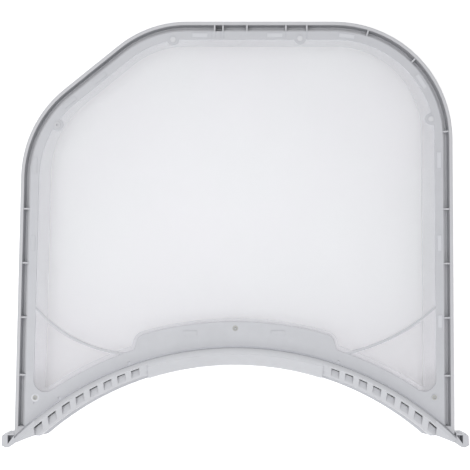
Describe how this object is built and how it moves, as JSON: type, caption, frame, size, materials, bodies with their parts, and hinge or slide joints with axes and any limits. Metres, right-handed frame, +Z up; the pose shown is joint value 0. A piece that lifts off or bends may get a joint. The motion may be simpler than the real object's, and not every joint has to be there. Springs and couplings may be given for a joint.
{
  "type": "dryer lint filter",
  "caption": "Flat dryer lint filter: light grey moulded frame round a fine white mesh, with a raised handle band with windows along a concave arc.",
  "frame": {"origin": "bottom centre of the bounding box, on the plane that the frame lies on", "axes": "+X along the handle to the right, +Y away from the handle, +Z up to the side with the crest and the windows"},
  "size_m": [0.3978, 0.3623, 0.028],
  "materials": {
    "frame_plastic": "satin",
    "land_plastic": "satin",
    "handle_plastic": "satin",
    "mesh_cloth": "woven"
  },
  "bodies": {
    "root": {"outer_frame": "frame_plastic", "mesh_screen": "mesh_cloth", "retainer_frame": "land_plastic", "arc_handle": "handle_plastic"}
  },
  "joints": []
}
